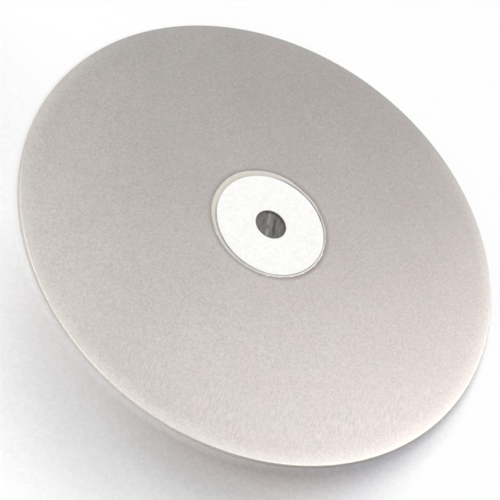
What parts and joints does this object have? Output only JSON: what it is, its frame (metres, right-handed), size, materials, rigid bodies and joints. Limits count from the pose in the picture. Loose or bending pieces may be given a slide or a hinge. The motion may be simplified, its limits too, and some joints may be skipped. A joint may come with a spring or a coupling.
{
  "type": "diamond grinding disc",
  "caption": "Flat steel disc plated with fine diamond grit, with a bare ring and paper label around its plain arbor bore, for wet grinding stone and glass.",
  "frame": {"origin": "arbor bore's axis at the back face, which the disc lies on", "axes": "+Z along the bore's axis, out of the plated face; +X and +Y lie in the disc"},
  "size_m": [0.2, 0.2, 0.0011],
  "materials": {
    "bare_steel": "fine ground sheet steel",
    "diamond_plating": "matt nickel with fine grit",
    "label_paper": "matt paper"
  },
  "bodies": {
    "root": {"steel_blank": "bare_steel", "diamond_coating": "diamond_plating", "centre_label": "label_paper"}
  },
  "joints": []
}
